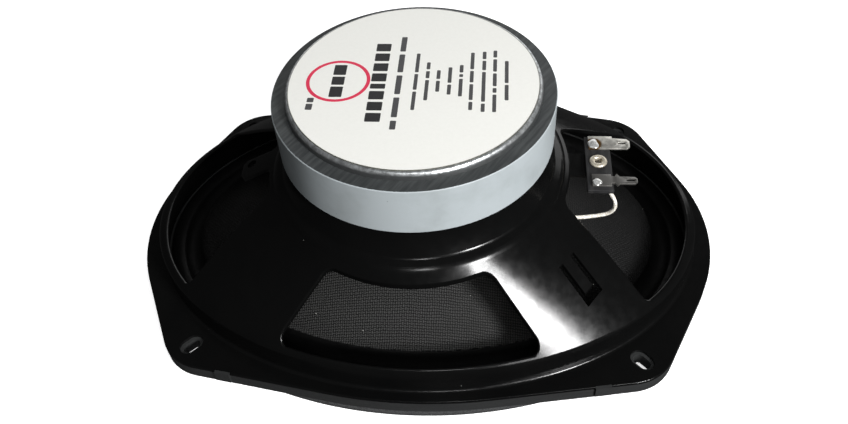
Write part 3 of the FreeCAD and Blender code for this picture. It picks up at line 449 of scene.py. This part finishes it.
MATERIALS = {
    "basket": black_paint(),
    "trim_ring": trim_finish(),
    "ferrite_magnet": ferrite(),
    "yoke": zinc(),
    "rear_label": paper(),
    "terminal_board": fibre_board(),
}
tinned = tin()
bead = solder_finish()
copper = plain_metal("copper_wire", (0.75, 0.3, 0.14), 0.3)
chrome = plain_metal("bezel_chrome", (0.72, 0.73, 0.74), 0.12)
black_plastic = plain_plastic("pod_plastic", (0.014, 0.014, 0.015), 0.42)
film = plain_plastic("capacitor_film", (0.42, 0.3, 0.06), 0.3)
plate_steel = plain_metal("plate_steel", (0.48, 0.48, 0.45), 0.32)
neodymium = plain_metal("neodymium", (0.55, 0.55, 0.56), 0.18)
MATERIALS.update({
    "top_plate": plate_steel,
    "plate_rivets": plain_metal("rivet_steel", (0.3, 0.3, 0.3), 0.35),
    "post_bolt": plate_steel,
    "tweeter_post": black_plastic,
    "tweeter_pod": black_plastic,
    "tweeter_cup": plate_steel,
    "tweeter_magnet": neodymium,
    "tweeter_pole_plate": plate_steel,
    "tweeter_coil": copper,
    "tweeter_dome": plain_metal("titanium", (0.5, 0.49, 0.47), 0.3, 700),
    "tweeter_bezel": chrome,
    "super_tweeter_disc": plain_metal("piezo_brass", (0.72, 0.52, 0.2), 0.3),
    "super_tweeter_horn": plain_plastic("horn_paper", (0.05, 0.05, 0.05), 0.5),
    "super_tweeter_bezel": chrome,
    "tweeter_capacitor": film,
    "super_tweeter_capacitor": film,
    "voice_coil_former": plain_plastic("coil_former", (0.45, 0.32, 0.16), 0.5),
    "voice_coil": copper,
    "dust_ring": plain_plastic("felt", (0.02, 0.02, 0.02), 0.85, 5000),
    "board_eyelet": plain_metal("eyelet_brass", (0.72, 0.66, 0.54), 0.25, metallic=0.6),
    "wide_terminal": tinned,
    "narrow_terminal": tinned,
    "wide_solder": bead,
    "narrow_solder": bead,
    "lead_pad": plain_plastic("pad_glue", (0.01, 0.01, 0.01), 0.35),
})

for node, material in MATERIALS.items():
    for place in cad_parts[node].material_slots:
        place.material = material

# ---------------------------------------------------------------------------------------------
# mesh helpers
# ---------------------------------------------------------------------------------------------


def grid_mesh(name, rows, material, closed_rows=False):
    """A smooth sheet from rows of points (metres); every row is a closed loop."""
    rows = np.asarray(rows)
    count, around, _ = rows.shape
    faces = []
    for i in range(count if closed_rows else count - 1):
        for j in range(around):
            nxt = (j + 1) % around
            low, high = i * around, (i + 1) % count * around
            faces.append((low + j, low + nxt, high + nxt, high + j))
    mesh = bpy.data.meshes.new(name)
    mesh.from_pydata(rows.reshape(-1, 3).tolist(), [], faces)
    mesh.polygons.foreach_set("use_smooth", [True] * len(faces))
    mesh.materials.append(material)
    mesh.validate()
    tidy = bmesh.new()
    tidy.from_mesh(mesh)
    bmesh.ops.recalc_face_normals(tidy, faces=tidy.faces)
    tidy.to_mesh(mesh)
    tidy.free()
    piece = bpy.data.objects.new(name, mesh)
    bpy.context.collection.objects.link(piece)
    return piece


def oval_sweep(half_length, half_width, section, steps=240):
    """Rows of points: the (outward, height) section carried square to an oval."""
    angles = np.linspace(0, 2 * math.pi, steps, endpoint=False)
    base = np.stack([half_length * np.cos(angles), half_width * np.sin(angles)], axis=1)
    out = np.stack([half_width * np.cos(angles), half_length * np.sin(angles)], axis=1)
    out /= np.linalg.norm(out, axis=1, keepdims=True)
    rows = []
    for reach, height in section:
        flat = base + out * reach
        rows.append(np.column_stack([flat, np.full(steps, height)]))
    return np.array(rows) / 1000


def between_ovals(outer, inner, section, steps=240):
    """Rows of points: share 0 lies on the outer (half length, half width), share 1 on the inner."""
    angles = np.linspace(0, 2 * math.pi, steps, endpoint=False)
    rows = []
    for share, height in section:
        long = outer[0] + (inner[0] - outer[0]) * share
        short = outer[1] + (inner[1] - outer[1]) * share
        rows.append(np.column_stack([long * np.cos(angles), short * np.sin(angles), np.full(steps, height)]))
    return np.array(rows) / 1000


def arc_points(centre, radius, start, end, steps):
    """(outward, height) points on an arc, angles in degrees."""
    angles = np.radians(np.linspace(start, end, steps))
    return [(centre[0] + radius * math.cos(a), centre[1] + radius * math.sin(a)) for a in angles]


def settle(piece, body, node=None):
    """Ride on a body, and stand for a CAD node where one is given."""
    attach(piece, body)
    if node:
        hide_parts(node)
    return piece


def softened(node, body, material, width, segments=2):
    """A copy of a CAD node with its edges rounded over, standing for the node."""
    shape = bmesh.new()
    shape.from_mesh(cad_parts[node].data)
    bmesh.ops.remove_doubles(shape, verts=shape.verts, dist=1e-6)
    bmesh.ops.dissolve_limit(shape, angle_limit=math.radians(0.5), verts=shape.verts, edges=shape.edges)
    mesh = bpy.data.meshes.new(node + "_softened")
    shape.to_mesh(mesh)
    shape.free()
    mesh.materials.clear()
    mesh.materials.append(material)
    piece = bpy.data.objects.new(node + "_softened", mesh)
    bpy.context.collection.objects.link(piece)
    bevel = piece.modifiers.new("bevel", "BEVEL")
    bevel.width = width
    bevel.segments = segments
    bevel.limit_method = "ANGLE"
    bevel.angle_limit = math.radians(35)
    bevel.harden_normals = True
    for polygon in mesh.polygons:
        polygon.use_smooth = True
    return settle(piece, body, node)


def ripple(angles, seed, waves, start=3):
    """A smooth random curve round a circle, about -1 to 1."""
    random = np.random.default_rng(seed)
    total = np.zeros_like(angles)
    for wave in range(start, start + waves):
        total += random.normal() * np.sin(wave * angles + random.uniform(0, 2 * math.pi))
    return total / math.sqrt(waves)


# ---------------------------------------------------------------------------------------------
# soft pieces
# ---------------------------------------------------------------------------------------------

RIM = (92.0, 60.0)
NECK_RADIUS = 15.6
CONE_RIM_Z = 10.2
CONE_NECK_Z = 43.0
CONE_GAUGE = 0.9
LIP_SHARE = -3.1 / (RIM[0] - NECK_RADIUS)
ROLL_OVAL = (99.0, 66.2)
ROLL_RADIUS = 4.6
SEAT_Z = 7.8
GASKET_OVAL = (112.0, 78.9)
SPIDER_TOP = 50.2
SPIDER_BASE_RADIUS = 30


def make_cone():
    """Woven oval cone with a flat lip under the roll's inner edge."""
    shares = np.linspace(0, 1, 40)
    rise = CONE_NECK_Z - CONE_RIM_Z
    rear = [(LIP_SHARE, CONE_RIM_Z)] + [(s, CONE_RIM_Z + rise * s) for s in shares]
    front = [(s, CONE_RIM_Z - CONE_GAUGE + rise * s) for s in shares[::-1]]
    front += [(LIP_SHARE, CONE_RIM_Z - CONE_GAUGE)]
    rows = between_ovals(RIM, (NECK_RADIUS, NECK_RADIUS), rear + front)
    dark, light = (0.0016, 0.0016, 0.0016), (0.034, 0.034, 0.033)
    # painted shade darkens the cloth from 45 to 75 mm out along X
    cloth = woven("cone_cloth", 0.00088, dark, light, 0.00022, dusty=0.06, painted_shade_reach=mm(45, 75))
    cone = grid_mesh("woven_cone", rows, cloth, closed_rows=True)
    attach(cone, "cone_assembly")
    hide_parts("cone")
    return cone


def follow_cone(piece, inner, outer, reach):
    """Weights that turn from the moving inner edge to the fixed outer edge of a ring."""
    weights = piece.data.attributes["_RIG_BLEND"]
    for index, vertex in enumerate(piece.data.vertices):
        share = (reach(vertex.co) - inner) / (outer - inner)
        share = min(1.0, max(0.0, share))
        weights.data[index].value = share * share * (3 - 2 * share)


def make_surround():
    """Rubber half roll between the cone's lip and the basket's seat."""
    section = [(-7.2, 9.25), (-5.2, 9.25), (-4.4, 8.0)]
    section += arc_points((0, SEAT_Z), ROLL_RADIUS - 0.75, 180, 360, 18)[1:-1]
    section += [(4.3, SEAT_Z - 0.02), (9.6, SEAT_Z - 0.02), (9.7, SEAT_Z - 0.68)]
    section += [(4.6, SEAT_Z - 0.7)]
    section += arc_points((0, SEAT_Z - 0.7), ROLL_RADIUS - 0.05, 360, 180, 18)[1:-1]
    section += [(-4.7, 7.3), (-5.3, 8.6), (-7.2, 8.6)]
    rows = oval_sweep(*ROLL_OVAL, section)
    roll = grid_mesh("surround_roll", rows, rubber(), closed_rows=True)
    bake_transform(roll, "cone_assembly", "chassis", start=(0.09, 0, 0.009), end=(0.105, 0, 0.009))

    def reach(place):
        half_length, half_width = mm(*ROLL_OVAL)
        across = math.atan2(place.y / half_width, place.x / half_length)
        middle = math.hypot(half_length * math.cos(across), half_width * math.sin(across))
        return math.hypot(place.x, place.y) - middle

    follow_cone(roll, -0.0045, 0.0045, reach)
    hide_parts("surround")
    return roll


def make_spider():
    """Corrugated cloth disc that centres the coil."""
    radii = np.linspace(18, 48, 97)
    upper = [(13.06, SPIDER_TOP), (16.5, SPIDER_TOP)]
    for radius in radii[1:-1]:
        wave = math.sin(2 * math.pi * (radius - 18) / 5)
        upper.append((radius, SPIDER_TOP - 1.2 + 1.1 * wave))
    upper += [(49.5, SPIDER_TOP), (54.0, SPIDER_TOP)]
    lower = [(radius, height - 0.5) for radius, height in upper[::-1]]
    section = [(radius - SPIDER_BASE_RADIUS, height) for radius, height in upper + lower]
    rows = oval_sweep(SPIDER_BASE_RADIUS, SPIDER_BASE_RADIUS, section, 180)
    cloth = woven("spider_cloth", 0.0007, (0.16, 0.09, 0.03), (0.5, 0.33, 0.13), 0.00015)
    disc = grid_mesh("spider_disc", rows, cloth, closed_rows=True)
    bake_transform(disc, "cone_assembly", "chassis", start=(0.016, 0, 0.05), end=(0.05, 0, 0.05))
    follow_cone(disc, 0.0165, 0.0495, lambda place: math.hypot(place.x, place.y))
    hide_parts("spider")
    return disc


def make_gasket():
    """Foam ring pressed flat against the surface."""
    section = [(-4.5, 2.45), (4.45, 2.45), (4.7, 2.1), (4.78, 1.2), (4.65, 0.3), (4.35, 0.0)]
    section += [(-4.4, 0.0), (-4.75, 0.3), (-4.85, 1.2), (-4.75, 2.1)]
    rows = oval_sweep(*GASKET_OVAL, section)
    ring = grid_mesh("foam_gasket", rows, foam(), closed_rows=True)
    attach(ring, "chassis")
    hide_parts("front_gasket")
    return ring


def make_lead():
    """Braided lead from the narrow blade, under the ledge to the cone."""
    around = 24
    turns = 14.0
    points = [Vector(point) for point in lead_path]
    lengths = [0.0]
    for a, b in zip(points, points[1:]):
        lengths.append(lengths[-1] + (b - a).length)
    rings = []
    side = Vector((0, 0, 1))
    rows = 360
    for row in range(rows + 1):
        goal = lengths[-1] * row / rows
        index = min(range(len(lengths) - 1), key=lambda i: 0 if lengths[i] <= goal <= lengths[i + 1] else 1)
        share = (goal - lengths[index]) / (lengths[index + 1] - lengths[index])
        centre = points[index].lerp(points[index + 1], share)
        ahead = (points[index + 1] - points[index]).normalized()
        side = (side - ahead * side.dot(ahead)).normalized()
        other = ahead.cross(side)
        ring = []
        for step in range(around):
            angle = 2 * math.pi * step / around
            strands = math.sin(4 * angle + 2 * math.pi * turns * row / rows)
            crossed = math.sin(4 * angle - 2 * math.pi * turns * row / rows)
            radius = LEAD_DIAMETER / 2 * (0.93 + 0.07 * max(strands, crossed))
            ring.append(centre + (side * math.cos(angle) + other * math.sin(angle)) * radius)
        rings.append([tuple(point) for point in ring])
    lead = grid_mesh("lead_braid", rings, braid())
    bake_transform(lead, "chassis", "cone_assembly", start=mm(72, -17, 42), end=mm(45, -14, 32))
    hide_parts("tinsel_lead")
    return lead


# ---------------------------------------------------------------------------------------------
# metal and moulded detail
# ---------------------------------------------------------------------------------------------

LABEL_TOP = 88.7
EYELET_X = 69.1
RING_X = -27.0
RING_RADII = (10.3, 11.6)
RING_STEPS = 96


def make_yoke_edge():
    """Rolled edge of the back plate, slightly uneven all round."""
    steps = 1440
    angles = np.linspace(0, 2 * math.pi, steps, endpoint=False)
    section = [
        (44.93, 88.45), (45.3, 88.46), (45.65, 88.3), (45.9, 88.0), (46.1, 87.6), (46.24, 87.1),
        (46.3, 86.6), (46.32, 86.1), (46.3, 85.6), (46.27, 85.22),
    ]
    rows = []
    for row, (radius, height) in enumerate(section):
        share = math.sin(math.pi * min(1.0, (row + 0.5) / 8))
        wander = ripple(angles, 40 + row // 2, 26) * 0.02 * share
        torn = ripple(angles, 90 + row, 150, 40) * 0.015 * share
        reach = radius + wander + torn
        rise = height + (ripple(angles, 190 + row, 120, 30) * 0.02 - 0.02) * share
        rows.append(np.column_stack([reach * np.cos(angles), reach * np.sin(angles), rise]))
    edge = grid_mesh("yoke_edge", np.array(rows) / 1000, MATERIALS["yoke"])
    settle(edge, "chassis")


def flat_shape(name, outlines, low, high, material):
    """Thin raised shapes from closed outlines (millimetres), standing from low to high."""
    shape = bmesh.new()
    for outline in outlines:
        top = [shape.verts.new(mm(x, y, high)) for x, y in outline]
        bottom = [shape.verts.new(mm(x, y, low)) for x, y in outline]
        shape.faces.new(top)
        count = len(outline)
        for i in range(count):
            j = (i + 1) % count
            shape.faces.new((top[i], bottom[i], bottom[j], top[j]))
    mesh = bpy.data.meshes.new(name)
    bmesh.ops.recalc_face_normals(shape, faces=shape.faces)
    shape.to_mesh(mesh)
    shape.free()
    mesh.materials.append(material)
    piece = bpy.data.objects.new(name, mesh)
    bpy.context.collection.objects.link(piece)
    return piece


def bar(x, y_low, y_high, width, corner=0.25):
    """Outline of a bar along Y with clipped corners."""
    half = width / 2
    cut = min(corner, half * 0.6)
    return [
        (x - half + cut, y_low), (x + half - cut, y_low), (x + half, y_low + cut), (x + half, y_high - cut),
        (x + half - cut, y_high), (x - half + cut, y_high), (x - half, y_high - cut), (x - half, y_low + cut),
    ]


def broken_line(x, y_low, y_high, width, words, gap):
    """A line of dashes whose lengths share the run in the given proportions."""
    free = (y_high - y_low) - gap * (len(words) - 1)
    bars = []
    start = y_low
    for word in words:
        length = free * word / sum(words)
        bars.append(bar(x, start, start + length, width))
        start += length + gap
    return bars


SPEC_LINES = [
    # x, low y, high y, dash proportions
    (0.9, -15.5, 16.1, (9, 8, 10)),
    (5.0, -10.3, 10.9, (11, 4, 4)),
    (8.9, -5.6, 6.4, (6, 5)),
    (13.0, -7.1, 8.1, (5, 8)),
    (17.0, -8.0, 9.5, (9, 1.5, 4)),
    (20.8, -15.2, 16.8, (4, 8, 6, 9)),
    (25.1, -16.1, 17.4, (4, 15, 5, 4)),
    (29.0, -16.1, 18.1, (9, 2.5, 7, 7, 4)),
    (33.2, -9.9, 12.0, (8, 12)),
]


def make_label_print():
    """Plain printed graphics: a ring, blocks and dashes, with no lettering."""
    black = print_ink("ink_black", (0.012, 0.012, 0.013))
    grey = print_ink("ink_grey", (0.05, 0.05, 0.052))
    red = print_ink("ink_red", (0.6, 0.02, 0.07))
    low, high = LABEL_TOP - 0.02, LABEL_TOP + 0.01
    blocks = broken_line(-12.4, -21.8, 21.9, 5.4, (5, 5, 5, 3, 5, 5, 5, 5), 1.3)
    blocks += broken_line(RING_X, -9.0, 9.0, 4.6, (5, 4, 5), 1.0)
    settle(flat_shape("label_blocks", blocks, low, high, black), "chassis")
    dashes = broken_line(-5.1, -25.6, 26.2, 2.1, (3, 7, 7, 7, 6), 1.8)
    dashes += broken_line(-35.4, -16.0, -9.6, 2.4, (4, 3), 0.8)
    for x, y_low, y_high, words in SPEC_LINES:
        dashes += broken_line(x, y_low, y_high, 1.35, words, 1.0)
    settle(flat_shape("label_dashes", dashes, low, high, grey), "chassis")
    angles = np.linspace(0, 2 * math.pi, RING_STEPS, endpoint=False)
    inner, outer = RING_RADII
    ring = []
    for a, b in zip(angles, np.roll(angles, -1)):
        corners = ((outer, a), (outer, b), (inner, b), (inner, a))
        ring.append([(RING_X + radius * math.cos(at), radius * math.sin(at)) for radius, at in corners])
    settle(flat_shape("label_ring", ring, low, high, red), "chassis")


def blob(name, centre, half_sizes, seed, material, body, node):
    """An uneven rounded mound flattened on its underside."""
    shape = bmesh.new()
    bmesh.ops.create_icosphere(shape, subdivisions=5, radius=1.0)
    random = np.random.default_rng(seed)
    waves = []
    for _ in range(9):
        waves.append((random.normal(size=3) * 2.4, random.uniform(0, 6.3), random.uniform(0.4, 1.0)))
    for vertex in shape.verts:
        lump = 1.0 + 0.055 * sum(s * math.sin(Vector(w).dot(vertex.co) + p) for w, p, s in waves)
        place = vertex.co * lump
        height = max(place.z, -0.15)
        vertex.co = Vector((
            (centre[0] + place.x * half_sizes[0]) / 1000,
            (centre[1] + place.y * half_sizes[1]) / 1000,
            (centre[2] + height * half_sizes[2]) / 1000,
        ))
    mesh = bpy.data.meshes.new(name)
    shape.to_mesh(mesh)
    shape.free()
    mesh.materials.append(material)
    mesh.polygons.foreach_set("use_smooth", [True] * len(mesh.polygons))
    piece = bpy.data.objects.new(name, mesh)
    bpy.context.collection.objects.link(piece)
    return settle(piece, body, node)


def make_eyelet():
    """Rolled eyelet whose bore was punched nearly square."""
    steps = 96
    angles = np.linspace(0, 2 * math.pi, steps, endpoint=False)
    section = [
        # radius, height, squareness
        (1.42, 47.2, 0.8), (1.42, 50.6, 0.85), (1.5, 51.0, 0.8), (1.8, 51.3, 0.5), (2.5, 51.32, 0.2),
        (3.05, 51.1, 0.05), (3.35, 50.75, 0.0), (3.4, 50.42, 0.0), (2.0, 50.4, 0.0), (2.0, 47.55, 0.0),
        (3.15, 47.5, 0.0), (3.15, 46.8, 0.0), (1.6, 46.75, 0.5),
    ]
    rows = []
    for radius, height, square in section:
        corner = 1.0 / np.maximum(np.abs(np.cos(angles)), np.abs(np.sin(angles)))
        reach = radius * (1 - square + square * (0.35 + 0.65 * corner) * 0.93)
        x = EYELET_X + reach * np.cos(angles)
        rows.append(np.column_stack([x, reach * np.sin(angles), np.full(steps, height)]))
    eyelet = grid_mesh("rolled_eyelet", np.array(rows) / 1000, MATERIALS["board_eyelet"], closed_rows=True)
    settle(eyelet, "chassis", "board_eyelet")


def make_terminals():
    softened("terminal_board", "chassis", MATERIALS["terminal_board"], 0.00018)
    softened("wide_terminal", "chassis", tinned, 0.00016)
    softened("narrow_terminal", "chassis", tinned, 0.00016)
    blob("wide_bead", (67.7, 9.0, 51.2), (2.1, 2.5, 0.95), 5, bead, "chassis", "wide_solder")
    blob("narrow_bead", (67.9, -11.7, 51.2), (1.7, 1.8, 0.85), 8, bead, "chassis", "narrow_solder")


make_lead()
make_cone()
make_surround()
make_spider()
make_gasket()
make_yoke_edge()
make_label_print()
make_eyelet()
make_terminals()

# ---------------------------------------------------------------------------------------------
# floor and light
# ---------------------------------------------------------------------------------------------


def make_floor():
    mesh = bpy.data.meshes.new("floor")
    half = 3.0
    corners = [(-half, -half, 0), (half, -half, 0), (half, half, 0), (-half, half, 0)]
    mesh.from_pydata(corners, [], [(0, 1, 2, 3)])
    pale = Finish("floor_pale", Specular_IOR_Level=0.1)
    pale.colour(pale.mix(pale.noise(3, 2), (0.82, 0.82, 0.82), (0.85, 0.85, 0.85)))
    pale.rough(pale.span(pale.noise(5, 2), 0, 1, 0.85, 0.9))
    pale.shader.inputs["Emission Color"].default_value = (1, 1, 1, 1)
    pale.shader.inputs["Emission Strength"].default_value = 0.72
    mesh.materials.append(pale.material)
    floor = bpy.data.objects.new("floor", mesh)
    bpy.context.collection.objects.link(floor)
    floor.visible_glossy = False
    floor.visible_diffuse = False


def add_light(name, place, target, size, power, tall=None):
    lamp = bpy.data.lights.new(name, "AREA")
    lamp.energy = power
    lamp.size = size
    if tall:
        lamp.shape = "RECTANGLE"
        lamp.size_y = tall
    light = bpy.data.objects.new(name, lamp)
    light.location = place
    aim = Vector(target) - Vector(place)
    light.rotation_euler = aim.to_track_quat("-Z", "Y").to_euler()
    bpy.context.collection.objects.link(light)
    return light


def light_scene():
    world = bpy.data.worlds.new("studio")
    world.use_nodes = True
    world.node_tree.nodes["Background"].inputs[0].default_value = (1, 1, 1, 1)
    world.node_tree.nodes["Background"].inputs[1].default_value = 0.03
    bpy.context.scene.world = world
    middle = (0, 0, 0.04)
    add_light("key_light", (0.55, -0.61, 0.43), middle, 0.17, 10.0)
    add_light("flash_light", (0.06, -0.6, 0.6), middle, 0.1, 0.8)
    add_light("low_light", (0.47, -0.75, 0.23), (0, 0, 0.06), 0.3, 2.0, tall=0.12)
    add_light("backdrop_light", (0.2, 1.5, 0.5), middle, 2.4, 9.0, tall=0.9)
    fill = add_light("overhead_light", (0.2, -0.3, 1.2), middle, 1.0, 6.0)
    fill.visible_glossy = False
    bpy.context.scene.view_settings.view_transform = "Standard"


make_floor()
light_scene()
